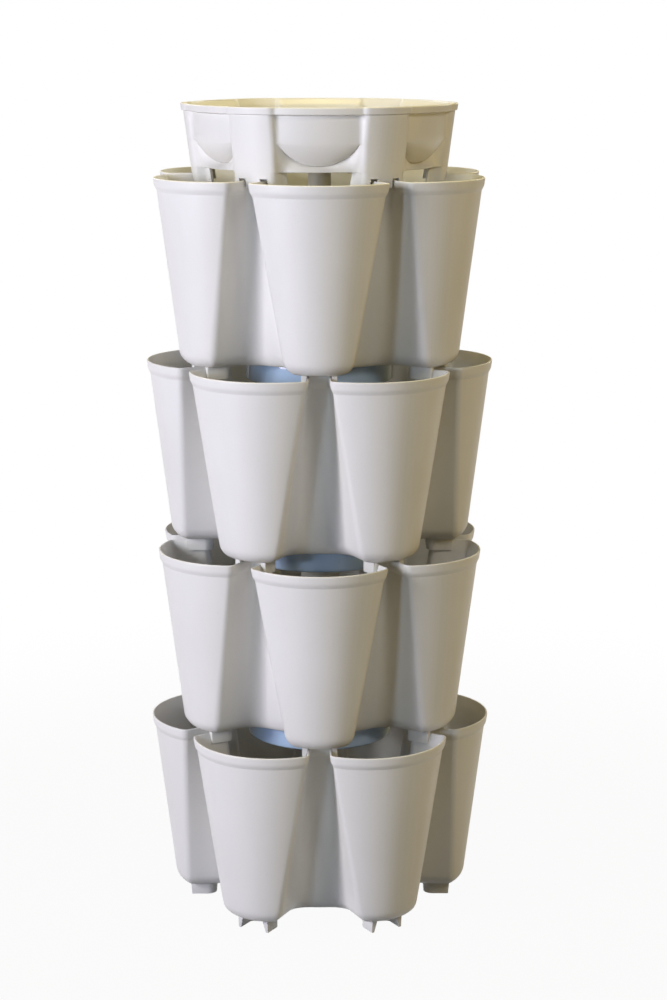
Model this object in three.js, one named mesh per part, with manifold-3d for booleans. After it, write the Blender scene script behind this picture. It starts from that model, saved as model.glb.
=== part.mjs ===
// A stacking planter tower: four six-pocket tiers, a lobed water reservoir on top
// and a water disc on the column of each tier that carries another.
// Lengths are millimetres. The origin is on the ground under the tower's axis, +Z is up
// and the tower is looked at along +Y.

import * as THREE from 'three';
import Module from 'manifold-3d';

const wasm = await Module();
wasm.setup();

// The tower. The pitch is the height that each stacked tier adds.
const tierCount = 4;
const pocketCount = 6;
const pitch = 241.3;
const restGap = 0.3;
const cutOverrun = 3;

// A tier's wall. The band is the thicker-looking edge round the whole rim, where the wall
// slopes out by the band's step and keeps its thickness.
const tierWall = 2.6;
const bandHeight = 17;
const bandSlope = 7;
const bandStep = 2.3;

// A pocket's front, at the wall's outer face, level with the floor and with the rim.
// The reach is from the tower's axis to the middle of the front, and the bow is how far
// the front curves back from there to the pocket's corners.
const frontReachAtFloor = 195.2;
const frontReachAtRim = 224.7;
const frontBowAtFloor = 15.5;
const frontBowAtRim = 46;
const cornerRadiusAtFloor = 12;
const cornerRadiusAtRim = 8;

// The channel between two pockets, as half widths at its mouth and at its back.
const valleyReachAtFloor = 119;
const valleyReachAtRim = 151.9;
const mouthHalfAtFloor = 53.4;
const mouthHalfAtRim = 15;
const throatHalfAtFloor = 24.5;
const throatHalfAtRim = 15;
const creaseRadiusAtFloor = 25;
const creaseRadiusAtRim = 6;

// The floor. Its underside is lifted over the rims that carry it by the thickness of the
// seat pads, and its edge is rounded, more under the pockets than in the valleys.
const padThickness = 3;
const heelRadius = 18;
const valleyEdgeRadius = 6;
const drainRadius = 3.5;
const drainReach = 92;

// The hollow column in the middle of a tier, which hands the water down.
const columnTopRadius = 24;
const columnBaseRadius = 31;
const columnWall = 2.6;

// The U-shaped foot under each pocket. Its two fins stand either side of a channel of the
// tier below, inside that tier's pockets, and its web stands behind that channel's back.
const footDepth = 13;
const finThickness = 3.6;
const finLength = 24.5;
const finRake = 1.2;
const webThickness = 6;
const footCornerRadius = 13;
const plugCornerRadius = 6;
const webArchRadius = 22;
const webArchRise = 4;
const footClearance = 0.4;

// A water disc: a shallow dish with drip holes, a tube in the middle that lets the
// overflow pass down, and a spigot that centres it in the column.
const discRadius = 97;
const discHeight = 27;
const discWall = 2.4;
const discEdgeRadius = 3.5;
const discFall = 4;
const discSink = 26;
const spigotClearance = 2;
const tubeRise = 17;
const spigotLength = 9;
const dripRadius = 2;
const dripReach = 78;

// The reservoir, whose six lobes stand over the channels of the top tier. Heights are
// from the top tier's rim.
const reservoirHeight = 90.3;
const reservoirWall = 2.8;
const lipHeight = 9.5;
const lipBevel = 1.2;
const lipStep = 2.6;
const lobeOverhang = 11.6;
const lobeLean = 11.5;
const lobeBow = 5.5;
const lobeMargin = 13;
const lobeCornerRadius = 12;
const panelRecess = 5.3;
const panelLean = 3.7;
const coveDepth = 27;
const skirtReach = 13;
const coveTopHeight = 46;
const creaseHeight = 22;
const skirtHeight = 10;
const lobeFlare = 10;
const panelCornerRadius = 22;
const coveCornerRadius = 34;
const lobeDrop = 9;
const notchClearance = 2.5;
const skirtEdge = 1;
const crescentShare = 0.9;
const panelGapHalfAtFoot = 37;
const panelGapHalfAtSkirt = 41;
const outletClearance = 6.4;
const outletReach = 9;
const weepRadius = 2.5;
const weepReach = 105;

// How finely the curves are drawn.
const frontSteps = 3;
const cornerSteps = 2;
const creaseSteps = 1;
const lobeSteps = 2;
const panelSteps = 2;
const heelSteps = 2;
const innerHeelSteps = 1;
const coveSteps = 2;
const columnSides = 10;
const discSides = 16;
const discEdgeSteps = 1;
const archSides = 10;
const footCornerSteps = 1;
const holeSides = 6;

// The least corner radius that an inset leaves, as a share of the outer corner's radius.
const leastCornerShare = 0.25;

const sector = (2 * Math.PI) / pocketCount;
const tierHeight = pitch - restGap;
const floorTop = padThickness + tierWall;

// The tube and the reservoir's outlet hang in the top of a column.
const columnBore = columnTopRadius - columnWall;
const tubeOuter = columnBore - spigotClearance;
const tubeRadius = tubeOuter - discWall;
const outletRadius = columnBore - outletClearance;

// The reservoir's lobes stand on the backs of the top tier's channels, and its panels lie
// back from the lobes.
const lobeReachAtFoot = valleyReachAtRim + lobeOverhang;
const lobeReachAtLip = lobeReachAtFoot + lobeLean;
const lobeHalf = mouthHalfAtRim + lobeMargin;
const panelReachAtLip = lobeReachAtLip - panelRecess;
const panelReachAtCove = panelReachAtLip - panelLean;
const panelReachAtCrease = panelReachAtCove - coveDepth;
const panelReachAtSkirt = panelReachAtCrease + skirtReach;

const stone = { color: 0xd9d8d2, roughness: 0.55, metalness: 0 };
const waterBlue = { color: 0x6f8aa0, roughness: 0.15, metalness: 0 };

function mix(low, high, share) {
  return low + (high - low) * share;
}

function along(start, direction, distance) {
  return [start[0] + direction[0] * distance, start[1] + direction[1] * distance];
}

// The distance along a line, from its start, to where it leaves a circle round a centre on
// the x axis.
function lineOutOfCircle(start, direction, centreX, radius) {
  const offsetX = start[0] - centreX;
  const half = offsetX * direction[0] + start[1] * direction[1];
  const rest = offsetX ** 2 + start[1] ** 2 - radius ** 2;
  return -half + Math.sqrt(Math.max(half ** 2 - rest, 0));
}

function arcPoints(centre, from, to, steps) {
  const radius = Math.hypot(from[0] - centre[0], from[1] - centre[1]);
  const startAngle = Math.atan2(from[1] - centre[1], from[0] - centre[0]);
  const endAngle = Math.atan2(to[1] - centre[1], to[0] - centre[0]);
  const turn = Math.atan2(Math.sin(endAngle - startAngle), Math.cos(endAngle - startAngle));
  const points = [];
  for (let step = 1; step <= steps; step += 1) {
    const angle = startAngle + (turn * step) / steps;
    points.push([centre[0] + radius * Math.cos(angle), centre[1] + radius * Math.sin(angle)]);
  }
  return points;
}

function mirrorAcross(angle, x, y) {
  return [
    x * Math.cos(2 * angle) + y * Math.sin(2 * angle),
    x * Math.sin(2 * angle) - y * Math.cos(2 * angle),
  ];
}

// A six-lobed outline, worked out on one half lobe along the x axis: a bowed front, a
// round corner, a straight side, a hollow fillet and the arc of the valley's back. The
// outline moves inward by inset, and the valley's back by backInset.
function lobedOutline(form, inset, backInset) {
  const half = sector / 2;
  const corner = [
    form.reach - form.bow,
    ((form.reach - form.bow) * Math.sin(half) - form.mouthHalf) / Math.cos(half),
  ];
  const backDepth = Math.sqrt(form.backReach ** 2 - form.throatHalf ** 2);
  const crease = [
    backDepth * Math.cos(half) + form.throatHalf * Math.sin(half),
    backDepth * Math.sin(half) - form.throatHalf * Math.cos(half),
  ];
  const bowRadius = (corner[1] ** 2 + form.bow ** 2) / (2 * form.bow);
  const bowCentre = form.reach - bowRadius;
  const length = Math.hypot(corner[0] - crease[0], corner[1] - crease[1]);
  const direction = [(corner[0] - crease[0]) / length, (corner[1] - crease[1]) / length];
  const inward = [direction[1], -direction[0]];
  const start = along(crease, inward, inset);

  const cornerRadius = Math.max(form.cornerRadius - inset, form.cornerRadius * leastCornerShare);
  const frontRadius = bowRadius - inset;
  const cornerLine = along(start, inward, cornerRadius);
  const cornerAt = lineOutOfCircle(cornerLine, direction, bowCentre, frontRadius - cornerRadius);
  const cornerCentre = along(cornerLine, direction, cornerAt);
  const cornerFoot = along(start, direction, cornerAt);
  const spread = frontRadius / (frontRadius - cornerRadius);
  const cornerHead = [bowCentre + (cornerCentre[0] - bowCentre) * spread, cornerCentre[1] * spread];

  const creaseRadius = form.creaseRadius + inset;
  const backRadius = form.backReach - backInset;
  const creaseLine = along(start, inward, -creaseRadius);
  const creaseAt = lineOutOfCircle(creaseLine, direction, 0, backRadius + creaseRadius);
  const creaseCentre = along(creaseLine, direction, creaseAt);
  const creaseFoot = along(start, direction, creaseAt);
  const shrink = backRadius / (backRadius + creaseRadius);
  const creaseEnd = [creaseCentre[0] * shrink, creaseCentre[1] * shrink];

  const apex = [bowCentre + frontRadius, 0];
  const side = [
    ...arcPoints([bowCentre, 0], apex, cornerHead, form.frontSteps),
    ...arcPoints(cornerCentre, cornerHead, cornerFoot, cornerSteps),
    creaseFoot,
    ...arcPoints(creaseCentre, creaseFoot, creaseEnd, creaseSteps),
  ];
  const mirrored = side.map(([x, y]) => [x, -y]).reverse();
  const valley = [backRadius * Math.cos(half), backRadius * Math.sin(half)];
  const back = arcPoints([0, 0], creaseEnd, valley, form.backSteps);
  const nextBack = back.slice(0, -1).map(([x, y]) => mirrorAcross(half, x, y)).reverse();
  const lobe = [...mirrored, apex, ...side, ...back, ...nextBack];
  const outline = [];
  for (let index = 0; index < pocketCount; index += 1) {
    const angle = index * sector;
    for (const [x, y] of lobe) {
      outline.push([
        x * Math.cos(angle) - y * Math.sin(angle),
        x * Math.sin(angle) + y * Math.cos(angle),
      ]);
    }
  }
  return outline;
}

// A closed solid through outlines with the same number of points, lowest first. A point
// may have a height of its own, but the first and the last outline are level.
function loft(rings) {
  const count = rings[0].outline.length;
  const positions = [];
  for (const ring of rings) {
    for (const [x, y, height = ring.z] of ring.outline) {
      positions.push(x, y, height);
    }
  }
  const faces = [];
  for (let level = 0; level < rings.length - 1; level += 1) {
    for (let point = 0; point < count; point += 1) {
      const next = (point + 1) % count;
      const low = level * count;
      const high = low + count;
      faces.push(low + point, low + next, high + next);
      faces.push(low + point, high + next, high + point);
    }
  }
  const last = rings.length - 1;
  for (const [a, b, c] of capFaces(rings[0].outline)) {
    faces.push(a, c, b);
  }
  for (const [a, b, c] of capFaces(rings[last].outline)) {
    faces.push(last * count + a, last * count + b, last * count + c);
  }
  return solidFrom(new Float32Array(positions), new Uint32Array(faces));
}

function capFaces(outline) {
  const points = outline.map(([x, y]) => new THREE.Vector2(x, y));
  return THREE.ShapeUtils.triangulateShape(points, []);
}

function solidFrom(vertProperties, triVerts) {
  return new wasm.Manifold(new wasm.Mesh({ numProp: 3, vertProperties, triVerts }));
}

function circle(radius, sides, centreX = 0, centreY = 0) {
  const points = [];
  for (let side = 0; side < sides; side += 1) {
    const angle = (2 * Math.PI * side) / sides;
    points.push([centreX + radius * Math.cos(angle), centreY + radius * Math.sin(angle)]);
  }
  return points;
}

function cone(lowRadius, highRadius, low, high, sides) {
  return loft([
    { z: low, outline: circle(lowRadius, sides) },
    { z: high, outline: circle(highRadius, sides) },
  ]);
}

// A round bore along z, away from the axis.
function boreAt(reach, angle, radius, low, high) {
  const outline = circle(radius, holeSides, reach * Math.cos(angle), reach * Math.sin(angle));
  return loft([{ z: low, outline }, { z: high, outline }]);
}

function rectangle(nearX, farX, halfY) {
  return [[nearX, -halfY], [farX, -halfY], [farX, halfY], [nearX, halfY]];
}

function repeatRound(solid, startAngle = 0) {
  const degrees = 180 / Math.PI;
  let all = null;
  for (let index = 0; index < pocketCount; index += 1) {
    const copy = solid.rotate([0, 0, (startAngle + index * sector) * degrees]);
    all = all ? all.add(copy) : copy;
  }
  return all;
}

// A tier's outline form at a height over its seat.
function tierForm(z) {
  const share = (z - padThickness) / (tierHeight - padThickness);
  return {
    reach: mix(frontReachAtFloor, frontReachAtRim, share),
    bow: mix(frontBowAtFloor, frontBowAtRim, share),
    backReach: mix(valleyReachAtFloor, valleyReachAtRim, share),
    mouthHalf: mix(mouthHalfAtFloor, mouthHalfAtRim, share),
    throatHalf: mix(throatHalfAtFloor, throatHalfAtRim, share),
    cornerRadius: mix(cornerRadiusAtFloor, cornerRadiusAtRim, share),
    creaseRadius: mix(creaseRadiusAtFloor, creaseRadiusAtRim, share),
    frontSteps,
    backSteps: 0,
  };
}

function tierRing(z, inset, backInset = inset) {
  return { z, outline: lobedOutline(tierForm(z), inset, backInset) };
}

// The rounded edge of the floor, from the flat underside up to the upright wall.
function heelRings(bottom, thickness, steps) {
  const rings = [];
  for (let step = 0; step <= steps; step += 1) {
    const angle = (Math.PI / 2) * (step / steps);
    const rise = (heelRadius - thickness) * (1 - Math.cos(angle));
    const inset = thickness + (heelRadius - thickness) * (1 - Math.sin(angle));
    const edge = Math.max(valleyEdgeRadius - thickness, 0);
    const backInset = thickness + edge * (1 - Math.sin(angle));
    rings.push(tierRing(bottom + rise, inset, backInset));
  }
  return rings;
}

function tierShell() {
  const bandFoot = tierHeight - bandHeight;
  const outer = loft([
    ...heelRings(padThickness, 0, heelSteps),
    tierRing(bandFoot, 0),
    tierRing(bandFoot + bandSlope, -bandStep),
    tierRing(tierHeight, -bandStep),
  ]);
  const inner = loft([
    ...heelRings(floorTop, tierWall, innerHeelSteps),
    tierRing(bandFoot, tierWall),
    tierRing(tierHeight, tierWall - bandStep),
    tierRing(tierHeight + cutOverrun, tierWall - bandStep),
  ]);
  return outer.subtract(inner);
}

// The inner faces of a channel's walls at a depth below the rim: the reach of its back,
// and the half width between its sides at a reach from the axis.
function channelInside(depth, reach) {
  const form = tierForm(tierHeight - depth);
  const inset = tierWall - bandStep * Math.max(1 - depth / bandHeight, 0);
  const mouthReach = (form.reach - form.bow - form.mouthHalf * Math.sin(sector / 2)) / Math.cos(sector / 2);
  const share = (reach - form.backReach) / (mouthReach - form.backReach);
  return {
    back: form.backReach - inset,
    half: mix(form.throatHalf, form.mouthHalf, Math.min(share, 1)) + inset,
  };
}

// An oblong that runs outward along x, with its two corners nearest the axis rounded.
function roundBacked(near, far, half, radius) {
  const inner = near + radius;
  const across = half - radius;
  return [
    [far, -half],
    [far, half],
    [inner, half],
    ...arcPoints([inner, across], [inner, half], [near, across], footCornerSteps),
    [near, -across],
    ...arcPoints([inner, -across], [near, -across], [inner, -half], footCornerSteps),
  ];
}

function tierFoot() {
  const finEnd = valleyReachAtRim + finLength;
  const webFront = channelInside(footDepth, finEnd).back - footClearance;
  const webBack = webFront - webThickness;
  const topHalf = channelInside(0, finEnd).half + footClearance;
  const footHalf = channelInside(footDepth, finEnd).half + footClearance;
  const outerHalf = footHalf + finThickness;
  const root = padThickness + tierWall / 2;
  const pastEnd = finEnd + cutOverrun;
  const low = roundBacked(webFront, pastEnd, footHalf, plugCornerRadius);
  const block = loft([
    { z: -footDepth, outline: roundBacked(webBack, finEnd - finRake, outerHalf, footCornerRadius) },
    { z: root, outline: roundBacked(webBack, finEnd, outerHalf, footCornerRadius) },
  ]);
  const plug = loft([
    { z: -footDepth - cutOverrun, outline: low },
    { z: -footDepth, outline: low },
    { z: 0, outline: roundBacked(webFront, pastEnd, topHalf, plugCornerRadius) },
  ]);
  const arch = cone(webArchRadius, webArchRadius, webBack - cutOverrun, webFront + cutOverrun, archSides)
    .rotate([0, 90, 0])
    .translate([0, 0, webArchRise - webArchRadius - footDepth]);
  return block.subtract(plug).subtract(arch);
}

function makeTier() {
  const columnTop = pitch - discSink - restGap;
  const column = cone(columnBaseRadius, columnTopRadius, padThickness, columnTop, columnSides);
  const bore = cone(
    columnBaseRadius - columnWall, columnTopRadius - columnWall,
    padThickness - cutOverrun, columnTop + cutOverrun, columnSides,
  );
  const drain = boreAt(drainReach, 0, drainRadius, padThickness - cutOverrun, floorTop + cutOverrun);
  return tierShell()
    .add(column)
    .add(repeatRound(tierFoot()))
    .subtract(bore)
    .subtract(repeatRound(drain));
}

// A water disc stands on its underside at z = 0, and the spigot hangs below.
function makeDisc() {
  const edge = new THREE.Path();
  const floorRise = discWall + discFall;
  edge.moveTo(tubeRadius, -spigotLength);
  edge.lineTo(tubeOuter, -spigotLength);
  edge.lineTo(tubeOuter, 0);
  edge.lineTo(discRadius - discEdgeRadius, 0);
  edge.absarc(discRadius - discEdgeRadius, discEdgeRadius, discEdgeRadius, -Math.PI / 2, 0, false);
  edge.lineTo(discRadius, discHeight);
  edge.lineTo(discRadius - discWall, discHeight);
  edge.lineTo(discRadius - discWall, discWall);
  edge.lineTo(tubeOuter, floorRise);
  edge.lineTo(tubeOuter, tubeRise);
  edge.lineTo(tubeRadius, tubeRise);
  const profile = edge.getPoints(discEdgeSteps);
  const dish = revolve(profile);
  const drip = boreAt(dripReach, 0, dripRadius, -cutOverrun, floorRise + cutOverrun);
  return dish.subtract(repeatRound(drip, sector / 2));
}

// A solid of revolution round z from a closed profile of radius and height.
function revolve(profile) {
  const count = profile.length;
  const positions = [];
  for (let side = 0; side < discSides; side += 1) {
    const angle = (2 * Math.PI * side) / discSides;
    for (const point of profile) {
      positions.push(point.x * Math.cos(angle), point.x * Math.sin(angle), point.y);
    }
  }
  const faces = [];
  for (let side = 0; side < discSides; side += 1) {
    const here = side * count;
    const there = ((side + 1) % discSides) * count;
    for (let point = 0; point < count; point += 1) {
      const next = (point + 1) % count;
      faces.push(here + point, there + point, there + next);
      faces.push(here + point, there + next, here + next);
    }
  }
  return solidFrom(new Float32Array(positions), new Uint32Array(faces));
}

// The reservoir's outline form at a height over the top tier's rim.
function reservoirForm(z, panelReach) {
  const share = (z + lobeDrop) / (reservoirHeight - lipHeight + lobeDrop);
  const coveShare = (panelReach - panelReachAtCrease) / (panelReachAtCove - panelReachAtCrease);
  const reach = mix(lobeReachAtFoot, lobeReachAtLip, share);
  const half = sector / 2;
  const depth = reach - lobeBow;
  const baseHalf = lobeHalf + lobeFlare;
  const baseDepth = Math.sqrt(panelReach ** 2 - baseHalf ** 2);
  return {
    reach,
    bow: lobeBow,
    backReach: panelReach,
    mouthHalf: depth * Math.sin(half) - lobeHalf * Math.cos(half),
    throatHalf: baseDepth * Math.sin(half) - baseHalf * Math.cos(half),
    cornerRadius: lobeCornerRadius,
    creaseRadius: mix(coveCornerRadius, panelCornerRadius, Math.min(coveShare, 1)),
    frontSteps: lobeSteps,
    backSteps: panelSteps,
  };
}

function reservoirRing(z, panelReach, inset) {
  return { z, outline: lobedOutline(reservoirForm(z, panelReach), inset, inset) };
}

// A ring of the cove drawn up towards the cove's top, not at all in the middle of a panel
// and most at the lobes, so that the crease over the skirt is a crescent.
function crescentRing(ring, top) {
  const half = sector / 2;
  const lobeSide = Math.asin(lobeHalf / panelReachAtCrease);
  const outline = ring.outline.map(([x, y], index) => {
    const fromPanel = Math.abs((Math.abs(Math.atan2(y, x)) % sector) - half);
    const share = crescentShare * Math.min(fromPanel / (half - lobeSide), 1) ** 2;
    const [topX, topY] = top.outline[index];
    return [mix(x, topX, share), mix(y, topY, share), mix(ring.z, top.z, share)];
  });
  return { z: ring.z, outline };
}

// The rounded underside of the bowl between two lobes, from the upright panel in to the
// crease over the skirt.
function coveRings(inset) {
  const rings = [];
  for (let step = 0; step <= coveSteps; step += 1) {
    const angle = (Math.PI / 2) * (step / coveSteps);
    const z = mix(creaseHeight, coveTopHeight, 1 - Math.cos(angle));
    const reach = mix(panelReachAtCrease, panelReachAtCove, Math.sin(angle));
    rings.push(reservoirRing(z, reach, inset));
  }
  return rings.map((ring) => crescentRing(ring, rings[coveSteps]));
}

function makeReservoir() {
  const lipFoot = reservoirHeight - lipHeight;
  const floorHeight = skirtHeight + reservoirWall;
  const outer = loft([
    reservoirRing(-lobeDrop, panelReachAtCrease, 0),
    reservoirRing(skirtHeight, panelReachAtCrease, 0),
    reservoirRing(skirtHeight + skirtEdge, panelReachAtSkirt, 0),
    ...coveRings(0),
    reservoirRing(lipFoot, panelReachAtLip, 0),
    reservoirRing(lipFoot + lipBevel, panelReachAtLip, -lipStep),
    reservoirRing(reservoirHeight, panelReachAtLip, -lipStep),
  ]);
  const innerCrease = reservoirRing(creaseHeight + reservoirWall, panelReachAtCrease, reservoirWall);
  const innerTop = reservoirRing(coveTopHeight + reservoirWall, panelReachAtCove, reservoirWall);
  const bowl = loft([
    reservoirRing(floorHeight, panelReachAtCrease, reservoirWall),
    crescentRing(innerCrease, innerTop),
    innerTop,
    reservoirRing(lipFoot, panelReachAtLip, reservoirWall),
    reservoirRing(reservoirHeight, panelReachAtLip, reservoirWall - lipStep),
    reservoirRing(reservoirHeight + cutOverrun, panelReachAtLip, reservoirWall - lipStep),
  ]);
  const under = loft([
    reservoirRing(-lobeDrop - cutOverrun, panelReachAtCrease, reservoirWall),
    reservoirRing(skirtHeight, panelReachAtCrease, reservoirWall),
  ]);
  const outletFoot = -discSink - outletReach;
  const bore = outletRadius - reservoirWall;
  const outlet = cone(outletRadius, outletRadius, outletFoot, skirtHeight + reservoirWall / 2, columnSides);
  const outletBore = cone(bore, bore, outletFoot - cutOverrun, skirtHeight, columnSides);
  const weepLow = skirtHeight - cutOverrun;
  const weepHigh = floorHeight + cutOverrun;
  return outer
    .subtract(bowl)
    .subtract(under)
    .add(repeatRound(lobeRib()))
    .add(outlet)
    .subtract(outletBore)
    .subtract(boreAt(0, 0, weepRadius, weepLow, weepHigh))
    .subtract(repeatRound(boreAt(weepReach, 0, weepRadius, weepLow, weepHigh), sector / 2))
    .subtract(repeatRound(panelGap(), sector / 2))
    .subtract(repeatRound(lobeNotches()));
}

// The gap between two lobes' legs, below the bowl's floor.
function panelGap() {
  const low = -lobeDrop - cutOverrun;
  const outline = [
    [-panelGapHalfAtFoot, low],
    [panelGapHalfAtFoot, low],
    [panelGapHalfAtSkirt, skirtHeight],
    [-panelGapHalfAtSkirt, skirtHeight],
  ];
  const wallReach = Math.sqrt((panelReachAtCrease - reservoirWall) ** 2 - panelGapHalfAtSkirt ** 2);
  return crossCut(outline, wallReach - cutOverrun, lobeReachAtLip + lipStep);
}

// The rib across a lobe's leg that rests on the back of the channel below.
function lobeRib() {
  const far = valleyReachAtRim + bandStep;
  const outline = rectangle(far - tierWall, far, lobeHalf);
  return loft([{ z: 0, outline }, { z: skirtHeight + reservoirWall / 2, outline }]);
}

// The two slots in a lobe's leg that pass over the side walls of the channel below.
function lobeNotches() {
  const nearHalf = mouthHalfAtRim - bandStep - notchClearance;
  const farHalf = channelInside(lobeDrop, lobeReachAtFoot).half + notchClearance;
  const low = -lobeDrop - cutOverrun;
  const slot = [
    [nearHalf, low],
    [farHalf, low],
    [farHalf, notchClearance],
    [nearHalf, notchClearance],
  ];
  const mirrored = slot.map(([across, z]) => [-across, z]).reverse();
  const near = valleyReachAtRim + bandStep;
  const far = lobeReachAtLip + lipStep;
  return crossCut(slot, near, far).add(crossCut(mirrored, near, far));
}

// A prism that runs outward along x, from an outline of places across and heights.
function crossCut(outline, near, far) {
  return loft([{ z: near, outline }, { z: far, outline }])
    .transform([0, 1, 0, 0, 0, 0, 1, 0, 1, 0, 0, 0, 0, 0, 0, 1]);
}

function meshFrom(name, solid, finish) {
  const mesh = solid.getMesh();
  const geometry = new THREE.BufferGeometry();
  geometry.setAttribute('position', new THREE.BufferAttribute(mesh.vertProperties, 3));
  geometry.setIndex(new THREE.BufferAttribute(mesh.triVerts, 1));
  geometry.computeVertexNormals();
  const piece = new THREE.Mesh(geometry, new THREE.MeshStandardMaterial(finish));
  piece.name = name;
  return piece;
}

const tower = new THREE.Group();
const tierSolid = makeTier();
const discSolid = makeDisc();

for (let number = 1; number <= tierCount; number += 1) {
  const level = tierCount - number;
  const seat = footDepth + level * pitch;
  const tier = meshFrom(`tier_${number}`, tierSolid, stone);
  tier.position.z = seat;
  tier.rotation.z = number % 2 === 1 ? sector / 2 : 0;
  tower.add(tier);
}

for (let number = 1; number < tierCount; number += 1) {
  const level = tierCount - 1 - number;
  const disc = meshFrom(`water_disc_${number}`, discSolid, waterBlue);
  disc.position.z = footDepth + (level + 1) * pitch - discSink;
  disc.rotation.z = number % 2 === 1 ? 0 : sector / 2;
  tower.add(disc);
}

const reservoir = meshFrom('reservoir', makeReservoir(), stone);
reservoir.position.z = footDepth + tierCount * pitch;
reservoir.rotation.z = 0;
tower.add(reservoir);

export default tower;
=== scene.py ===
import math

import bmesh
import bpy
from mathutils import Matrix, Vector
from mathutils.geometry import delaunay_2d_cdt


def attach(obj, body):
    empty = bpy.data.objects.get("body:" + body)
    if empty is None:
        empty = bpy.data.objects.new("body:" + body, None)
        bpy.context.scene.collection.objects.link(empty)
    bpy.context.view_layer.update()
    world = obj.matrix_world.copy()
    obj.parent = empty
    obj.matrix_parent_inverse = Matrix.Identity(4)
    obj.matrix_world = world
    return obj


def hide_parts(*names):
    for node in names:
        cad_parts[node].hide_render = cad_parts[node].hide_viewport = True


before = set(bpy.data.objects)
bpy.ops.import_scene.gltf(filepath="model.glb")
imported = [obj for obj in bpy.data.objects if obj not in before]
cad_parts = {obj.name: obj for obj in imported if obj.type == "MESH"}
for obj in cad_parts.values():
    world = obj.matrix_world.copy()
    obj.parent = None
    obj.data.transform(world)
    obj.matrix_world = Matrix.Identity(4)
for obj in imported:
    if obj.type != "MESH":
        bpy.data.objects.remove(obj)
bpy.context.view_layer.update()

# The camera's lens and sensor in millimetres, its place in metres, its downward tilt in
# degrees and its turn in radians, as fitted to the photograph.
LENS = 83.7
SENSOR_WIDTH = 36.0
CAMERA_PLACE = (0.0074, -3.0318, 1.1783)
CAMERA_TILT = 11.778
CAMERA_TURN = -0.0036

# The stack. All sizes of the pieces are in millimetres, and a piece's heights are over its
# own seat.
MM = 0.001
LOBES = 6
SECTOR = math.pi / 3
TIERS = 4
PITCH = 241.3
REST_GAP = 0.3
SHARP_ANGLE = math.radians(35.0)

# A corner keeps at least this share of its radius where an outline is inset.
LEAST_CORNER = 0.25
# The type of output that fills a patch with triangles within its outer loop only.
WITHIN_LOOP = 1
PATCH_EPSILON = 1e-6

# The tiers' walls, their rim band and the fillets of their pocket floors.
TIER_HEIGHT = PITCH - REST_GAP
TIER_WALL = 2.6
PAD = 3.0
FLOOR_TOP = PAD + TIER_WALL
HEEL = 18.0
VALLEY_EDGE = 6.0
RIM_ROUND = 1.8
RIM_INNER_ROUND = 0.6
BAND_HEIGHT = 17.0
BAND_STEP = 2.3
BAND_SLOPE = 7.0
# The band's underside: shares of the slope's height and of the band's step.
BAND_UNDERSIDE = (
    (0.06, 0.0), (0.15, 0.10), (0.35, 0.36), (0.6, 0.68), (0.8, 0.88), (1.0, 0.98), (1.25, 1.0),
)

# A tier's outline at its floor and at its rim: how far a pocket's front reaches and bows,
# the radius of the wall behind a channel, half the channel's width at its mouth and at its
# back, and the radii of the pocket's corners and of the channel's creases.
TIER_PROFILE = {
    "reach": (195.2, 224.7), "bow": (15.5, 46.0), "back": (119.0, 151.9), "mouth": (53.4, 15.0),
    "throat": (24.5, 15.0), "corner": (12.0, 8.0), "crease": (25.0, 6.0),
}
TIER_STEPS = {"front": 10, "corner": 6, "side": 6, "crease": 5, "back": 4}
RIM_BACK = TIER_PROFILE["back"][1]
RIM_THROAT = TIER_PROFILE["throat"][1]
# The number of rings over each stretch of a wall.
HEEL_STEPS = 9
WALL_STEPS = 14
RIM_STEPS = 5
RIM_INNER_STEPS = 3
BAND_INNER_STEPS = 3
WALL_INNER_STEPS = 10
HEEL_INNER_STEPS = 6

# The U-shaped feet under the pockets.
FOOT_DEPTH = 13.0
FOOT_CLEARANCE = 0.4
FOOT_CORNER = 13.0
FOOT_EDGE = 0.7
FOOT_EDGE_ANGLE = math.radians(40)
FOOT_EDGE_SEGMENTS = 3
PLUG_CORNER = 6.0
FOOT_CORNER_STEPS = 7
FIN_THICKNESS = 3.6
FIN_LENGTH = 24.5
FIN_RAKE = 1.2
WEB_THICKNESS = 6.0
WEB_ARCH_RADIUS = 22.0
WEB_ARCH_RISE = 4.0
WEB_ARCH_SIDES = 64
WEB_ARCH_MARGIN = 4.0

# The tiers' columns and drain holes.
COLUMN_TOP = 24.0
COLUMN_BASE = 31.0
COLUMN_WALL = 2.6
COLUMN_FILLET = 2.5
COLUMN_EDGE = 0.6
# The column's inside stops this far over the ring that its bore starts from.
BORE_SHY = 0.01
COLUMN_SIDES = 72
COLUMN_STEPS = 8
COLUMN_FILLET_STEPS = 3
DRAIN_RADIUS = 3.5
DRAIN_REACH = 92.0
DRAIN_SIDES = 16

# The water discs.
DISC_SINK = 26.0
DISC_RADIUS = 97.0
DISC_HEIGHT = 27.0
DISC_WALL = 2.4
DISC_EDGE = 3.5
DISC_LIP = 0.8
DISC_FILLET = 2.5
DISC_FALL = 4.0
DISC_SIDES = 120
DISC_EDGE_STEPS = 8
DISC_LIP_STEPS = 3
DISC_FILLET_STEPS = 4
# Radii and levels of further rings of the dish, in the order that its section is drawn in.
DISC_UNDER_RINGS = (28.0, 45.0, 62.0)
DISC_FLOOR_RINGS = (62.0, 45.0, 30.0)
DISC_RIM_RING = 88.0
DISC_OUTSIDE_LEVELS = (8.0, 14.0, 20.0)
DISC_INSIDE_LEVELS = (20.0, 12.0, 6.0)
TUBE_RADIUS = 17.0
TUBE_RISE = 17.0
TUBE_BORE_LEVEL = 8.0
TUBE_EDGE = 0.8
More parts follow.
